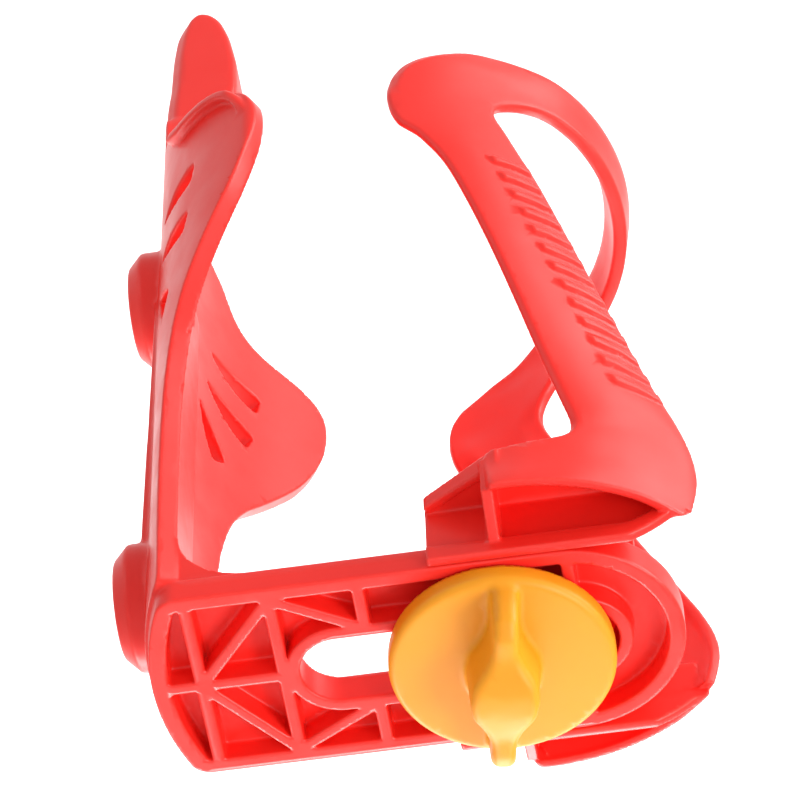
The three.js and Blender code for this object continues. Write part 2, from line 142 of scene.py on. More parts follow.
def stadium(x, y, ends, half):
    along = np.clip(x, ends[0], ends[1])
    return np.hypot(x - along, y) - half


def softened(points, spacing=0.5, reach=1.2, closed=True):
    """The same line with evenly spaced points and its corners eased."""
    p = np.asarray(points, float)
    if closed:
        p = np.vstack([p, p[:1]])
    run = np.r_[0, np.cumsum(np.hypot(*np.diff(p, axis=0).T))]
    count = max(8, int(run[-1] / spacing))
    at = np.linspace(0, run[-1], count, endpoint=not closed)
    q = np.c_[np.interp(at, run, p[:, 0]), np.interp(at, run, p[:, 1])]
    width = int(math.ceil(3 * reach / spacing))
    weight = np.exp(-0.5 * (np.arange(-width, width + 1) * spacing / reach) ** 2)
    weight /= weight.sum()
    ends = {"mode": "wrap"} if closed else {"mode": "reflect", "reflect_type": "odd"}
    padded = np.pad(q, ((width, width), (0, 0)), **ends)
    return np.stack([np.convolve(padded[:, k], weight, "valid") for k in (0, 1)], axis=1)


def blurred(table, axis, reach):
    """A table eased along one axis; reach is in cells."""
    width = int(math.ceil(3 * reach))
    weight = np.exp(-0.5 * (np.arange(-width, width + 1) / reach) ** 2)
    weight /= weight.sum()
    pad = [(0, 0)] * table.ndim
    pad[axis] = (width, width)
    wide = np.pad(table, pad, mode="edge")
    return np.apply_along_axis(lambda row: np.convolve(row, weight, "valid"), axis, wide)


FAR = 9.0
GRADIENT_REACH, CURVATURE_REACH = 0.7, 1.5


class Body:
    """Distances on a grid. With mirrored, only y >= 0 is kept and the other side is its mirror image."""

    def __init__(self, lo, hi, step, mirrored=True):
        self.step, self.mirrored = step, mirrored
        self.lo = np.array([lo[0], 0.0 if mirrored else lo[1], lo[2]])
        counts = [int(math.ceil((hi[i] - self.lo[i]) / step)) + 1 for i in range(3)]
        self.axes = [self.lo[i] + step * np.arange(counts[i]) for i in range(3)]
        self.d = np.full(counts, FAR, np.float32)

    def block(self, lo, hi, pad=2.5):
        """The cells round a box, and their coordinates."""
        cut = []
        for axis, a, b in zip(self.axes, lo, hi):
            i0, i1 = np.searchsorted(axis, [a - pad, b + pad])
            cut.append(slice(max(i0 - 1, 0), min(i1 + 1, len(axis))))
        x, y, z = (axis[c] for axis, c in zip(self.axes, cut))
        return tuple(cut), x[:, None, None], y[None, :, None], z[None, None, :]

    def add(self, shape, lo, hi, fillet=0.5):
        cut, x, y, z = self.block(lo, hi)
        self.d[cut] = join(self.d[cut], shape(x, y, z), fillet)

    def remove(self, shape, lo, hi, rounding=0.3):
        cut, x, y, z = self.block(lo, hi)
        self.d[cut] = meet(self.d[cut], -shape(x, y, z), rounding)

    def mesh(self, name, adaptivity=0.0):
        """The closed surface as a Blender object, with each normal taken from the distances."""
        d = self.d
        lo = self.lo.copy()
        if self.mirrored:
            lo[1] = -self.axes[1][-1]
            d = np.concatenate([d[:, :0:-1], d], axis=1)
        limit = 3 * self.step
        d = np.ascontiguousarray(np.clip(d, -limit, limit))
        grid = openvdb.FloatGrid(limit)
        grid.copyFromArray(d)
        points, triangles, quads = grid.convertToPolygons(isovalue=0.0, adaptivity=adaptivity)
        points = points.astype(float)
        for _ in range(2):
            slope = gradient(d, points)
            size = np.maximum(np.sum(slope * slope, axis=1), 0.05)
            points -= slope * (np.clip(sample(d, points), -0.4, 0.4) / size)[:, None]
        normals = gradient(d, points)
        normals /= np.maximum(np.linalg.norm(normals, axis=1), 1e-9)[:, None]
        bend = curvature(d, points, self.step)
        faces = [*quads.tolist(), *triangles.tolist()]
        mesh = bpy.data.meshes.new(name)
        mesh.from_pydata((lo + points * self.step) * MM, [], faces)
        mesh.update()
        first = mesh.polygons[0]
        if np.dot(first.normal, normals[first.vertices[0]]) < 0:
            mesh.flip_normals()
        edge = mesh.attributes.new("edge", "FLOAT", "POINT")
        edge.data.foreach_set("value", bend.astype(np.float32))
        mesh.polygons.foreach_set("use_smooth", [True] * len(mesh.polygons))
        mesh.normals_split_custom_set_from_vertices(normals)
        piece = bpy.data.objects.new(name, mesh)
        bpy.context.scene.collection.objects.link(piece)
        return piece


def sample(d, p):
    """Value of a grid at places given in cells."""
    i = np.clip(np.floor(p).astype(int), 0, np.array(d.shape) - 2)
    f = p - i
    total = 0
    for corner in np.ndindex(2, 2, 2):
        weight = np.prod(np.where(corner, f, 1 - f), axis=1)
        total = total + weight * d[tuple((i + corner).T)]
    return total


def gradient(d, p):
    steps = np.eye(3) * GRADIENT_REACH
    return np.stack([sample(d, p + s) - sample(d, p - s) for s in steps], axis=1) / (2 * GRADIENT_REACH)


def curvature(d, p, step):
    """How sharply the surface bends outwards, per millimetre."""
    steps = np.eye(3) * CURVATURE_REACH
    around = sum(sample(d, p + s) + sample(d, p - s) for s in steps)
    return (around - 6 * sample(d, p)) / (CURVATURE_REACH * step) ** 2


# ---- rear cage ----

REAR_GRID, REAR_ADAPTIVITY = 0.29, 0.006
PLATE_AXIS_X, PLATE_R_OUT, PLATE_R_IN = 38.6, 34.5, 31.7
PLATE_R_MID, PLATE_T = (PLATE_R_OUT + PLATE_R_IN) / 2, PLATE_R_OUT - PLATE_R_IN
PLATE_OUTLINE = [
    (14.6, -13.8), (13.9, 0), (13.6, 10), (13.9, 20.5), (14.5, 26), (15.5, 31), (16.8, 35.6), (18.9, 40.2),
    (21.6, 44.5), (23.7, 48.3), (25.6, 52.4), (26.8, 56.6), (27.6, 61), (27.9, 66), (27.7, 69.8),
    (27.0, 72.6), (25.7, 75.0), (23.8, 76.6), (21.4, 77.6), (19.0, 78.8), (17.0, 80.6), (15.4, 83.2),
    (14.0, 86.2), (11.6, 88.4), (8.6, 90), (6.6, 92.4), (6.0, 96), (5.6, 104),
]
LIP_LINE = [(26.9, 67.8), (26.8, 70), (26.2, 72.2), (25.0, 74.2), (23.2, 75.7), (21.0, 76.8), (18.5, 77.9),
            (16.4, 79.7), (14.8, 82.2), (13.7, 85)]
LIP_HALF, LIP_R_OUT = 0.65, 36.1
LIP_RISE, LIP_FALL = (66, 73), (79.5, 85)
LIP_ROOT_R = PLATE_R_OUT - 0.3
WING_HALF = 29.5
LEAVES = [((11.2, 67.6), (20.4, 65.2)), ((10.2, 59.9), (19.2, 55.6)), ((8.4, 53.4), (13.6, 45.4))]
LEAF_HALF = 1.9
PLATE_EDGE = 0.22
TONGUE = [
    (4.9, 91), (4.5, 97), (4.2, 103), (4.3, 108), (4.7, 113), (4.9, 121), (5.4, 126.8), (6.6, 130.6),
    (8.5, 132.0), (10.5, 131.5), (12.3, 129.0), (13.7, 124.2), (14.8, 117.5), (15.0, 111), (14.2, 105),
    (11.8, 99.5), (8.6, 95),
]
TONGUE_HALF, TONGUE_CHAMFER = 5.8, 1.6
BOLT_PITCH, BOLT_HOLE_R = 64.0, 2.75
BOSS_R, BOSS_CHAMFER, BOSS_DEPTH = 8.4, 2.0, 7.4
SPINE_X, SPINE_HALF = (3.4, 4.2), 6.0
RAIL_HALF, RAIL_BOTTOM, RAIL_TOP, RAIL_CROWN = 14.75, -16.8, -12.05, 0.55
RAIL_REAR_R, RAIL_END_X, RAIL_RIM = 34.0, 57.4, 2.1
POCKET_ROOF = -13.6
RIB_T, CROSS_RIB_X, SHORT_RIB_X = 1.6, (10.9, 21.4), (32.6, 58.7)
SLOT_X, SLOT_HALF, SLOT_WALL = (28.6, 58.7), 5.1, 1.8
ROOT_FILLET, ROOT_HALF = 8.5, 14.2


def along_plate(y):
    """Distance round the plate from its middle line to a point seen at y from behind."""
    return PLATE_R_MID * np.arcsin(np.clip(np.asarray(y, float) / (PLATE_R_MID - 1.2), -1, 1))


def unrolled(points):
    return [(float(along_plate(y)), z) for y, z in points]


def leaf_outline(tip, end):
    """A slot with a pointed inner end that widens to a blunt outer end."""
    tip, end = (np.array(p) for p in unrolled([tip, end]))
    along = end - tip
    across = np.array([-along[1], along[0]]) / np.hypot(*along)
    stations = [(0, 0.05), (0.2, 0.42), (0.45, 0.78), (0.7, 0.97), (0.92, 1.0), (1.0, 0.8)]
    one = [tip + along * t + across * LEAF_HALF * w for t, w in stations]
    other = [tip + along * t - across * LEAF_HALF * w for t, w in stations]
    return softened([*one, *other[::-1]], spacing=0.25, reach=0.3)


def plate_table(z):
    """Distance to the plate's edge on the unrolled plate, for places (round, up)."""
    s = np.arange(-3, 46, 0.25)
    half = unrolled(PLATE_OUTLINE)
    edge = softened([*half, *[(-a, b) for a, b in half[::-1]]], reach=1.3)
    d = inside_outline(edge, s[:, None], z[None, :])
    for tip, end in LEAVES:
        d = meet(d, -inside_outline(leaf_outline(tip, end), s[:, None], z[None, :]), 0.3)
    lip = near_line(softened(unrolled(LIP_LINE), reach=0.8, closed=False), s[:, None], z[None, :])
    return s, d, lip


def looked_up(places, table, at):
    """Rows of a table at in-between places along its first axis."""
    i = (at - places[0]) / (places[1] - places[0])
    low = np.clip(np.floor(i).astype(int), 0, len(places) - 2)
    part = np.clip(i - low, 0, 1)[..., None]
    return table[low] * (1 - part) + table[low + 1] * part


def rear_cage():
    body = Body((-1.2, 0, -18), (73.2, 29.5, 133.6), REAR_GRID)
    z_all = body.axes[2]
    s, edge_table, lip_table = plate_table(z_all)

    def plate(x, y, z):
        cut = np.searchsorted(z_all, z[0, 0, 0])
        rows = slice(cut, cut + z.shape[2])
        r = np.hypot(x - PLATE_AXIS_X, y)[..., 0]
        at = PLATE_R_MID * np.arctan2(y, PLATE_AXIS_X - x)[..., 0]
        edge = looked_up(s, edge_table[:, rows], at)
        wall = meet(edge, (np.abs(r - PLATE_R_MID) - PLATE_T / 2)[..., None], PLATE_EDGE)
        proud = smooth(*LIP_RISE, z) * (1 - smooth(*LIP_FALL, z))
        lip_r = LIP_ROOT_R + (LIP_R_OUT - LIP_ROOT_R) * proud
        span = np.maximum(r[..., None] - lip_r, PLATE_R_IN + 0.6 - r[..., None])
        lip = meet(looked_up(s, lip_table[:, rows], at) - LIP_HALF, span, 0.3)
        return meet(join(wall, lip, 0.25), y - WING_HALF, 0.25)

    body.add(plate, (2, 0, -16), (30, 29, 106), 0.05)

    def spine(x, y, z):
        back = SPINE_X[0] + (SPINE_X[1] - SPINE_X[0]) * z / BOLT_PITCH
        return np.maximum(np.maximum(back - x, x - 8), np.maximum(y - SPINE_HALF, np.abs(z - 32) - 36))

    body.add(spine, (3, 0, -5), (9, 7, 69), 0.8)
    tongue_edge = softened(TONGUE, reach=0.9)

    def tongue(x, y, z):
        side = inside_outline(tongue_edge, x[:, 0], z[0])[:, None, :]
        cut = TONGUE_CHAMFER * (1 - 0.75 * smooth(6.6, 9.4, x))
        chamfer = (side + y - TONGUE_HALF + cut) / math.sqrt(2)
        return meet(meet(side, y - TONGUE_HALF, 0.35), chamfer, 0.35)

    body.add(tongue, (3.5, 0, 90), (16, 6, 133), 0.8)
    for height in (0.0, BOLT_PITCH):
        def boss(x, y, z, height=height):
            r = np.hypot(y, z - height)
            tip = meet(r - BOSS_R, -x, 0.15)
            tip = meet(tip, (r - x - BOSS_R + BOSS_CHAMFER) / math.sqrt(2), 0.2)
            return np.maximum(tip, x - BOSS_DEPTH)
        body.add(boss, (0, 0, height - 9), (8, 9, height + 9), 0.45)

    def rail_plan(x, y, half, rear, corner):
        """A strip with a round front end and an arc for its rear end."""
        side = np.where(x > RAIL_END_X, np.hypot(x - RAIL_END_X, y), y + 0 * x) - half
        back = np.where(x < PLATE_AXIS_X, np.hypot(x - PLATE_AXIS_X, y) - rear, -9)
        return meet(side, back, corner)

    def rail(x, y, z):
        top = z - (RAIL_TOP - RAIL_CROWN * (np.minimum(y, RAIL_HALF) / RAIL_HALF) ** 2)
        outer = rail_plan(x, y, RAIL_HALF, RAIL_REAR_R, 1.6)
        block = meet(meet(outer, top, 0.8), RAIL_BOTTOM - z, 0.2)
        inner = RAIL_HALF - RAIL_RIM
        wall = SLOT_HALF + SLOT_WALL
        first, second = CROSS_RIB_X
        lines = [[(c, -1), (c, inner + 1)] for c in CROSS_RIB_X]
        lines += [[(5, 0), (SLOT_X[0] - wall + 0.5, 0)], [(first, 0), (second, inner)]]
        lines += [[(second, inner), (SHORT_RIB_X[0], wall - 0.6)]]
        lines += [[(c, wall - 1), (c, inner + 1)] for c in SHORT_RIB_X]
        flat_x, flat_y = x[..., 0], y[..., 0]
        ribs = np.minimum.reduce([near_line(line, flat_x, flat_y) for line in lines]) - RIB_T / 2
        ribs = np.minimum(ribs, stadium(flat_x, flat_y, SLOT_X, wall))[..., None]
        pocket = meet(rail_plan(x, y, inner, RAIL_REAR_R - 2.3, 0.3), -ribs, 0.25)
        pocket = meet(pocket, z - POCKET_ROOF, 0.35)
        block = meet(block, -pocket, 0.18)
        return meet(block, -stadium(x, y, SLOT_X, SLOT_HALF), 0.2)

    body.add(rail, (4, 0, -17), (72.5, 15, -11), 0.5)

    def root(x, y, z):
        """The hollow fillet between the plate's inner face and the rail."""
        r = np.hypot(x - PLATE_AXIS_X, y)
        centre_r, centre_z = PLATE_R_IN - ROOT_FILLET, RAIL_TOP - 0.3 + ROOT_FILLET
        hollow = ROOT_FILLET - np.hypot(np.maximum(r - centre_r, 0), np.minimum(z - centre_z, 0))
        block = np.maximum(np.maximum(r - PLATE_R_IN - 0.8, z - centre_z), RAIL_TOP - 0.9 - z)
        side = meet(np.maximum(block, x - PLATE_AXIS_X), y - ROOT_HALF, 0.3)
        return np.maximum(side, hollow)

    body.add(root, (6, 0, -14), (17, 15, -2), 0.15)
    for height in (0.0, BOLT_PITCH):
        def bore(x, y, z, height=height):
            return np.hypot(y, z - height) - BOLT_HOLE_R + 0 * x
        body.remove(bore, (-1, 0, height - 3), (10, 3, height + 3), 0.3)
    return body.mesh("rear_cage_moulding", REAR_ADAPTIVITY)


# ---- front cage ----

FRONT_GRID, FRONT_ADAPTIVITY = 0.27, 0.03
LOOP_AXIS_X, LOOP_R, LOOP_T = 40.1, 31.0, 2.4
EDGE_T, EDGE_W = 1.4, 3.6
RING_T, RING_LEAN, NOSE_FLARE = (1.9, 3.7), 0.9, 0.8
NOSE_BEVEL, NOSE_BEVEL_SLOPE = 1.5, 0.5
# Height, angle of the rear edge, angle of the front edge, and how far the front edge stands out.
ARM_LEVELS = np.array([
    (-13.3, 66.4, 22.4, 37.3), (-9.4, 66.4, 22.0, 38.5), (-6.2, 66.4, 21.8, 39.0), (-5.2, 65.6, 21.9, 39.0),
    (-4.6, 52.0, 22.1, 39.0), (-3.6, 47.2, 22.3, 39.0), (-1.6, 45.5, 22.8, 38.9), (0.4, 45.7, 23.5, 38.7),
    (4, 48.6, 24.8, 37.9), (11, 53.6, 28.2, 35.9), (22, 59.8, 35.0, 34.1), (31, 64.8, 41.0, 33.1),
    (40, 70.1, 47.2, 32.5), (49, 75.8, 53.3, 32.1), (52, 79.0, 55.7, 31.8), (55.5, 84.4, 58.5, 31.4),
])
# The rest of the outline, as (angle, height): up round the nose and along the ring's two edges.
NOSE_EDGE = [
    (86.8, 57.1), (88.4, 59.8), (89.2, 62.6), (89.1, 65.6), (88.0, 68.2), (85.4, 70.8), (81.6, 72.6),
    (76.4, 74.3), (70, 75.6), (64, 76.6), (56, 77.3), (46, 77.7), (30, 77.8), (0, 77.8), (-8, 77.8),
]
RING_EDGE = [
    (-8, 70.6), (0, 70.6), (30, 70.5), (40, 70.1), (46, 69.4), (51, 68.2), (55.2, 66.8), (59.0, 65.2),
    (61.3, 63.3), (61.7, 61.3), (60.9, 59.4),
]
ARM_BARS, BAR_STEP, BAR_H = 13, 3.4, 0.5
FLOOR_Z = (-7.4, -5.5)
FLOOR_PLAN = [
    (67, -6), (67, 11), (69.6, 13.8), (71, 17.2), (67.4, 19.4), (63.0, 21.2), (57.6, 22.1), (51.5, 22.2),
    (41.7, 16.2), (41.7, -6),
]
SKIRT_Y, BAND_Y, BAND_H = (14.9, 15.7), 16.25, 2.6
SKIRT_SIDE = [
    (41.7, -16.8), (66.9, -16.8), (69.2, -15.6), (70.9, -14.4), (72.7, -12.9), (72.7, -6.6), (41.7, -6.6),
]
FOOT_RIB_X = (49.5, 51.0)
CLAMP_X = 49.0
PAD_BOTTOM, PAD_Y, PAD_X, PAD_BOSS_R = -11.9, (9.6, 11.2), (42.8, 66.0), 7.0
NUT_HALF, NUT_SEAT_Z, STUD_HOLE_R = 4.3, -10.5, 2.8
RAIL_GAP = 0.1


def front_tables(z):
    """Tables over (angle, height): distance to the outline, outer radius, wall and edge rounding."""
    deg = np.arange(-9, 100, 0.5)
    fine = np.arange(ARM_LEVELS[0, 0], ARM_LEVELS[-1, 0] + 0.01, 0.4)
    blend = smooth(3, 14, fine)
    rows = []
    for k in (1, 2, 3):
        raw = np.interp(fine, ARM_LEVELS[:, 0], ARM_LEVELS[:, k])
        rows.append(blurred(raw, 0, 0.9) * (1 - blend) + blurred(raw, 0, 6) * blend)
    rear, front, reach = rows
    half = len(fine)
    scale = math.radians(1) * LOOP_R
    keep = slice(0, half - 3)
    up_the_rear, up_the_front = zip(rear[keep], fine[keep]), list(zip(front[keep], fine[keep]))
    outline = [*up_the_rear, *NOSE_EDGE, *RING_EDGE, *up_the_front[::-1]]
    outline = softened([(a * scale, b) for a, b in outline], spacing=0.4, reach=0.7)
    edge = inside_outline(outline, deg[:, None] * scale, z[None, :])

    rear, front, reach = (np.interp(z, fine, row) for row in (rear, front, reach))
    swing = np.where(z < -3, 46.4, rear)
    part = np.minimum((swing - deg[:, None]) / (swing - front), 1)
    arm_r = LOOP_R + (reach - LOOP_R) * part + NOSE_FLARE * smooth(50, 88, deg)[:, None]
    across = np.clip((deg[:, None] - front) / (rear - front), 0, 1)
    pillow = (1 - (2 * across - 1) ** 2) * smooth(-4, 12, z) * (1 - smooth(50, 66, z))
    arm_r = arm_r + 0.4 * pillow
    up = smooth(70, 77.8, z)
    flare = (NOSE_FLARE + RING_LEAN) * smooth(46, 84, deg)[:, None]
    ring_r = LOOP_R + flare * (1 - up / 2) - RING_LEAN * (1 - up)
    ring_r = ring_r - 1.1 * smooth(38, 64, deg)[:, None] * smooth(73, 78, z)
    high = smooth(56, 66, z)
    arm_r = arm_r + 0.42 * smooth(-7, -12, z) * smooth(24, 34, deg)[:, None]
    outer = arm_r * (1 - high) + ring_r * high
    outer = blurred(blurred(outer, 1, 5), 0, 3)
    bevel = NOSE_BEVEL_SLOPE * np.clip(NOSE_BEVEL + edge, 0, NOSE_BEVEL)
    bevel = bevel * smooth(66, 78, deg)[:, None] * smooth(63, 67, z)
    outer = outer - bevel
    ring_t = RING_T[0] + (RING_T[1] - RING_T[0]) * up * (1 - 1.25 * smooth(45, 70, deg)[:, None])
    arm_t = EDGE_T + (LOOP_T - EDGE_T) * smooth(0.2, EDGE_W, -edge)
    wall = arm_t * (1 - high) + ring_t * high - bevel
    wall = wall - 0.3 * smooth(74, 84, deg)[:, None] * smooth(60, 66, z)
    rounding = 0.25 + 0.4 * smooth(-6, 4, z) - 0.3 * smooth(66, 78, deg)[:, None] * smooth(62, 68, z)
    return deg, edge, outer, wall, rounding


def raised_bars(deg, z):
    """Slanted grip bars on the front half of the arm: how far they stand proud."""
    front = np.interp(z, ARM_LEVELS[:, 0], ARM_LEVELS[:, 2])
    rear = np.interp(z, ARM_LEVELS[:, 0], ARM_LEVELS[:, 1])
    across = (rear - deg) / (rear - front)
    span = smooth(0.46, 0.52, across) * (1 - smooth(0.9, 0.96, across))
    turn = (z - 4.7 + across) / BAR_STEP
    saw = np.abs(turn - np.round(turn)) * BAR_STEP
    ends = (np.round(turn) >= 0.5) & (np.round(turn) <= ARM_BARS + 0.5)
    return BAR_H * span * (1 - smooth(0.55, 0.95, saw)) * ends


def front_cage():
    body = Body((39.6, 0, -18), (77.2, 33.2, 79), FRONT_GRID)
    z_all = body.axes[2]
    deg, *tables = front_tables(z_all)

    def loop(x, y, z):
        r = np.hypot(x - LOOP_AXIS_X, y)
        at = np.degrees(np.arctan2(y, x - LOOP_AXIS_X))[..., 0]
        edge, outer, wall, rounding = (looked_up(deg, table, at) for table in tables)
        bars = raised_bars(at[..., None], z)
        return meet(edge, np.maximum(r - outer - bars, outer - wall - r), rounding)

    lo, hi = [a[0] for a in body.axes], [a[-1] for a in body.axes]
    body.add(loop, lo, hi, 0.1)
    floor_edge = softened(FLOOR_PLAN, reach=0.4)

    def floor(x, y, z):
        plan = inside_outline(floor_edge, x[..., 0], y[..., 0])[..., None]
        return meet(plan, between(FLOOR_Z, z), 0.25)

    body.add(floor, (41, 0, -8), (72, 24, -5), 0.35)
    skirt_edge = softened(SKIRT_SIDE, reach=0.3)

    def skirt(x, y, z):
        side = inside_outline(skirt_edge, x[:, 0], z[0])[:, None, :]
        wall = meet(side, between(SKIRT_Y, y), 0.2)
        low_edge = np.interp(x, [p[0] for p in SKIRT_SIDE[:5]], [p[1] for p in SKIRT_SIDE[:5]])
        strip = np.maximum(side, z - low_edge - BAND_H)
        return join(wall, meet(strip, between((SKIRT_Y[0], BAND_Y), y), 0.15), 0.15)

    body.add(skirt, (41, 14, -17), (73, 17, -6), 0.25)
    rib_profile = [(15.1, -15.4), (22.8, -13.0), (22.8, -6.7), (15.1, -6.7)]

    def foot_rib(x, y, z):
        profile = inside_outline(rib_profile, y[0], z[0])[None]
        return meet(profile, between(FOOT_RIB_X, x), 0.15)

    body.add(foot_rib, (49, 15, -16), (51, 23, -6), 0.2)

    def gusset(x, y, z):
        line = near_line([(42.3, 16.6), (51.6, 22.7)], x[..., 0], y[..., 0])[..., None] - 0.6
        low = np.interp(x, [42.3, 49.6, 52.4], [-7.6, -8.2, -13.1])
        return meet(line, np.maximum(z - FLOOR_Z[1], low - z), 0.2)

    body.add(gusset, (41, 15, -14), (53, 24, -5), 0.2)

    def pads(x, y, z):
        strip = np.maximum(between(PAD_Y, y), between(PAD_X, x))
        boss = np.hypot(x - CLAMP_X, y) - PAD_BOSS_R
        return np.maximum(np.minimum(strip, boss), np.maximum(PAD_BOTTOM - z, z - FLOOR_Z[1]))

    body.add(pads, (42, 0, -12.3), (66, 12, -5.5), 0.3)

    def rail_run(x, y, z):
        return np.maximum(y - SKIRT_Y[0], z - RAIL_TOP - RAIL_GAP) + 0 * x

    body.remove(rail_run, (41, 0, -18), (78, 15, -12), 0.15)

    def nut_pocket(x, y, z):
        turns = (math.pi / 2, math.pi / 6, -math.pi / 6)
        flats = [np.abs(math.cos(a) * (x - CLAMP_X) + math.sin(a) * y) for a in turns]
        return np.maximum(np.maximum.reduce(flats) - NUT_HALF, NUT_SEAT_Z - z)

    body.remove(nut_pocket, (43, 0, -11), (55, 6, -5), 0.2)

    def stud_hole(x, y, z):
        return np.hypot(x - CLAMP_X, y) - STUD_HOLE_R + 0 * z

    body.remove(stud_hole, (45, 0, -13), (53, 4, -5), 0.2)
    return body.mesh("front_cage_moulding", FRONT_ADAPTIVITY)


# ---- knob ----

KNOB_GRID, KNOB_ADAPTIVITY = 0.22, 0.02
KNOB_R, KNOB_TOP, KNOB_FACE, KNOB_DOME = 14.3, -17.1, -20.0, 0.35
WASHER_RECESS_R, WASHER_RECESS_Z = 8.3, -18.6
GRIP_TURN = math.radians(8)
GRIP_PLAN = [
    (1.0, 13.4), (1.4, 12.4), (1.45, 8.6), (1.6, 7.2), (2.4, 5.2), (3.9, 2.7), (4.3, 0),
]
GRIP_SIDE = [(13.9, -19), (13.3, -22.4), (12.3, -25.2), (10, -26.5), (6.4, -26.5), (4, -27.1), (1.6, -27.6)]


def mirrored_outline(half):
    """A closed outline from one quarter of it, given from its far end to its widest point."""
    right = [*half, *[(x, -y) for x, y in half[-2::-1]]]
    return [*right, *[(-x, -y) for x, y in right]]


def knob():
    body = Body((34, -15.2, -28.6), (64, 15.2, -16.2), KNOB_GRID, mirrored=False)
    plan_edge = softened(mirrored_outline(GRIP_PLAN), spacing=0.3, reach=0.5)
    side_edge = softened([*GRIP_SIDE, *[(-y, z) for y, z in GRIP_SIDE[::-1]]], spacing=0.3, reach=0.6)

    def disc(x, y, z):
        r = np.hypot(x - CLAMP_X, y)
        face = KNOB_FACE - KNOB_DOME * (1 - (np.minimum(r, KNOB_R) / KNOB_R) ** 2)
        return meet(meet(r - KNOB_R, face - z, 1.0), z - KNOB_TOP, 0.15)

    def grip(x, y, z):
        u = math.cos(GRIP_TURN) * (x - CLAMP_X) + math.sin(GRIP_TURN) * y
        v = -math.sin(GRIP_TURN) * (x - CLAMP_X) + math.cos(GRIP_TURN) * y
        flare = 0.05 * (z - GRIP_SIDE[-1][1])
        plan = inside_outline(plan_edge, u[..., 0], v[..., 0])[..., None] - flare
        side = inside_outline(side_edge, v, z)
        return meet(plan, side, 1.1)

    def washer_recess(x, y, z):
        return np.maximum(np.hypot(x - CLAMP_X, y) - WASHER_RECESS_R, WASHER_RECESS_Z - z)

    lo, hi = [a[0] for a in body.axes], [a[-1] for a in body.axes]
    body.add(disc, lo, hi, 0.1)
    body.add(grip, lo, hi, 0.8)
    body.remove(washer_recess, lo, hi, 0.2)
    return body.mesh("knob_moulding", KNOB_ADAPTIVITY)


# ---- materials ----


def material(name):
    """An empty material with one shader."""
    m = bpy.data.materials.new(name)
    m.use_nodes = True
    nodes = m.node_tree.nodes
    nodes.clear()
    out = nodes.new("ShaderNodeOutputMaterial")
    shader = nodes.new("ShaderNodeBsdfPrincipled")
    m.node_tree.links.new(shader.outputs[0], out.inputs[0])
    return m, shader


def noise(tree, scale, detail=3.0, stretch=(1, 1, 1)):
    where = tree.nodes.new("ShaderNodeTexCoord")
    mapping = tree.nodes.new("ShaderNodeMapping")
    mapping.inputs["Scale"].default_value = stretch
    texture = tree.nodes.new("ShaderNodeTexNoise")
    texture.inputs["Scale"].default_value = scale
    texture.inputs["Detail"].default_value = detail
    tree.links.new(where.outputs["Object"], mapping.inputs[0])
    tree.links.new(mapping.outputs[0], texture.inputs[0])
    return texture.outputs[0]


def ramp(tree, source, low, high):
    """Remaps a noise to a range of values."""
    node = tree.nodes.new("ShaderNodeMapRange")
    node.inputs["From Min"].default_value, node.inputs["From Max"].default_value = 0.3, 0.7
    node.inputs["To Min"].default_value, node.inputs["To Max"].default_value = low, high
    tree.links.new(source, node.inputs[0])
    return node.outputs[0]


def mixed(tree, factor, a, b):
    """Blends two colours; each is a value or a socket."""
    node = tree.nodes.new("ShaderNodeMix")
    node.data_type = "RGBA"
    tree.links.new(factor, node.inputs[0])
    for value, socket in ((a, node.inputs[6]), (b, node.inputs[7])):
        if isinstance(value, tuple):
            socket.default_value = (*value, 1)
        else:
            tree.links.new(value, socket)
    return node.outputs[2]


def moulded_plastic(name, colour, deeper, lighter, roughness, glow):
    """Injection-moulded plastic: faint flow streaks, pale edges and an uneven, fine-grained gloss."""
    m, shader = material(name)
    tree = m.node_tree
    clouds = ramp(tree, noise(tree, 38, 4, (1, 1, 0.35)), 0, 1)
    body = mixed(tree, clouds, colour, deeper)
    edge = tree.nodes.new("ShaderNodeAttribute")
    edge.attribute_name = "edge"
    line = tree.nodes.new("ShaderNodeMapRange")
    line.inputs["From Min"].default_value, line.inputs["From Max"].default_value = 1.2, 4.0
    line.inputs["To Max"].default_value = 0.14
    tree.links.new(edge.outputs["Fac"], line.inputs[0])
    tree.links.new(mixed(tree, line.outputs[0], body, lighter), shader.inputs["Base Color"])
    gloss = ramp(tree, noise(tree, 160, 5), roughness - 0.05, roughness + 0.07)
    tree.links.new(gloss, shader.inputs["Roughness"])
    shader.inputs["IOR"].default_value = 1.46
    shader.inputs["Subsurface Weight"].default_value = glow
    shader.inputs["Subsurface Radius"].default_value = (1.0, 0.25, 0.15)
    shader.inputs["Subsurface Scale"].default_value = 0.0015
    grain = tree.nodes.new("ShaderNodeBump")
    grain.inputs["Strength"].default_value = 0.25
    grain.inputs["Distance"].default_value = 0.00002
    tree.links.new(noise(tree, 2600, 2), grain.inputs["Height"])
    sink = tree.nodes.new("ShaderNodeBump")
    sink.inputs["Strength"].default_value = 0.35
    sink.inputs["Distance"].default_value = 0.00012
    tree.links.new(noise(tree, 120, 2), sink.inputs["Height"])
    tree.links.new(grain.outputs[0], sink.inputs["Normal"])
    tree.links.new(sink.outputs[0], shader.inputs["Normal"])
    return m


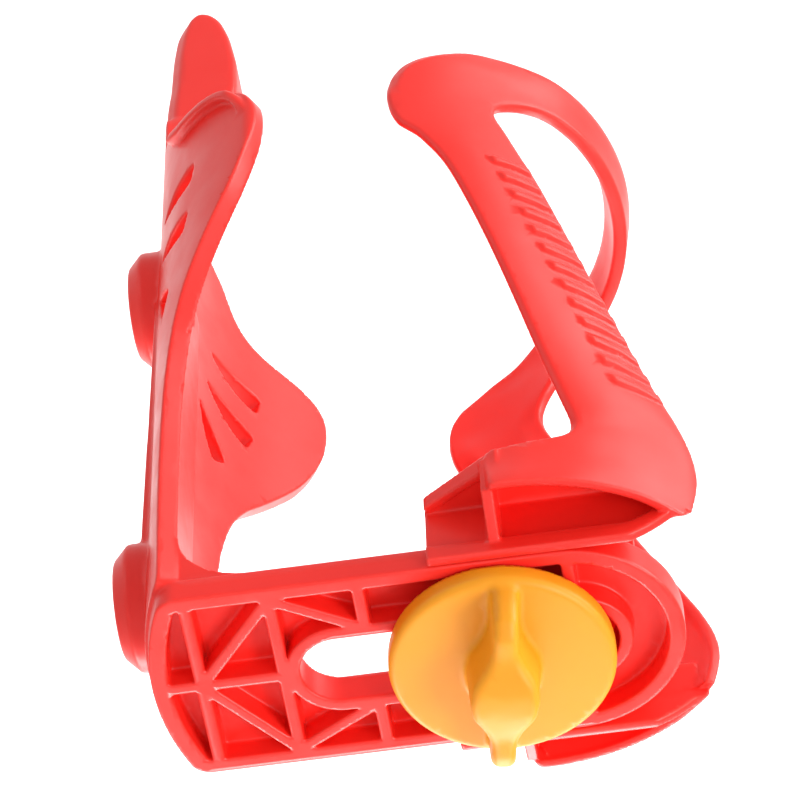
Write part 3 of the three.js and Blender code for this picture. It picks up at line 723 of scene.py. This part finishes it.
def plated_steel(name):
    """Zinc-plated steel with fine turning marks."""
    m, shader = material(name)
    tree = m.node_tree
    streaks = ramp(tree, noise(tree, 900, 3, (1, 1, 6)), 0, 1)
    tree.links.new(mixed(tree, streaks, (0.62, 0.63, 0.65), (0.42, 0.43, 0.45)), shader.inputs["Base Color"])
    tree.links.new(ramp(tree, noise(tree, 400, 4), 0.22, 0.42), shader.inputs["Roughness"])
    shader.inputs["Metallic"].default_value = 1
    bump = tree.nodes.new("ShaderNodeBump")
    bump.inputs["Strength"].default_value = 0.3
    bump.inputs["Distance"].default_value = 0.00002
    tree.links.new(noise(tree, 1800, 2, (1, 1, 8)), bump.inputs["Height"])
    tree.links.new(bump.outputs[0], shader.inputs["Normal"])
    return m


def dress(piece, m):
    """Gives a piece its one material."""
    piece.data.materials.clear()
    piece.data.materials.append(m)


red = moulded_plastic(
    "red_plastic", (0.93, 0.025, 0.017), (0.87, 0.019, 0.012), (0.98, 0.16, 0.12), 0.36, 0.05)
yellow = moulded_plastic(
    "yellow_plastic", (0.87, 0.325, 0.004), (0.84, 0.295, 0.003), (0.92, 0.42, 0.03), 0.48, 0.1)
steel = plated_steel("steel")

PIECES = [
    (rear_cage, "rear_cage", "rear", red, "cage_plastic"),
    (front_cage, "front_cage", "front", red, "cage_plastic"),
    (knob, "knob", "knob", yellow, "knob_plastic"),
]
for make, node, moves_with, finish, slot in PIECES:
    piece = make()
    dress(piece, finish)
    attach(piece, moves_with)
    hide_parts(node)
for node in ("washer", "stud", "nut"):
    dress(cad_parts[node], steel)

# ---- setting ----

centre = (cad_box[0] + cad_box[1]) / 2


def pale_sheet(name, middle, facing, size):
    bpy.ops.mesh.primitive_plane_add(size=size)
    sheet = bpy.context.object
    sheet.name = name
    sheet.matrix_world = Matrix.Translation(middle) @ facing.to_track_quat("Z", "Y").to_matrix().to_4x4()
    m, shader = material(name)
    tree = m.node_tree
    tone = ramp(tree, noise(tree, 3, 2), 0, 1)
    tree.links.new(mixed(tree, tone, (0.9, 0.9, 0.9), (0.93, 0.93, 0.93)), shader.inputs["Base Color"])
    shader.inputs["Roughness"].default_value = 0.9
    dress(sheet, m)


pale_sheet("backdrop", centre + forward * 1.7, -forward, 5.0)
pale_sheet("floor", Vector((0, 0, -1.5)), Vector((0, 0, 1)), 9.0)

world = bpy.data.worlds.new("world")
bpy.context.scene.world = world
world.use_nodes = True
sky = world.node_tree.nodes["Background"]
sky.inputs["Color"].default_value = (1, 1, 1, 1)
sky.inputs["Strength"].default_value = 0.57


def area_light(name, middle, away, size, power):
    """A soft box at a place; away is the direction behind it."""
    data = bpy.data.lights.new(name, "AREA")
    data.shape = "SQUARE"
    data.size = size
    data.energy = power
    lamp = bpy.data.objects.new(name, data)
    lamp.matrix_world = Matrix.Translation(middle) @ away.to_track_quat("Z", "Y").to_matrix().to_4x4()
    bpy.context.scene.collection.objects.link(lamp)


def soft_box(name, towards, distance, size, power):
    """A soft box that looks at the object from one direction."""
    area_light(name, centre + towards.normalized() * distance, towards, size, power)


soft_box("key", Vector((0.69, -0.46, 0.52)), 0.9, 0.6, 4.0)
soft_box("right", Vector((0.95, -0.26, 0.14)), 0.9, 0.4, 4.5)
soft_box("front", down * 0.3 - forward * 1.0 + right * 0.9, 1.0, 0.4, 6.0)
soft_box("back", -right * 0.9 - down * 0.6 - forward * 0.2, 1.0, 0.7, 1.0)
area_light("backdrop_light", centre + forward * 0.6 + down * 1.3, down - forward * 0.9, 1.2, 60)
bpy.context.scene.view_settings.view_transform = "Standard"
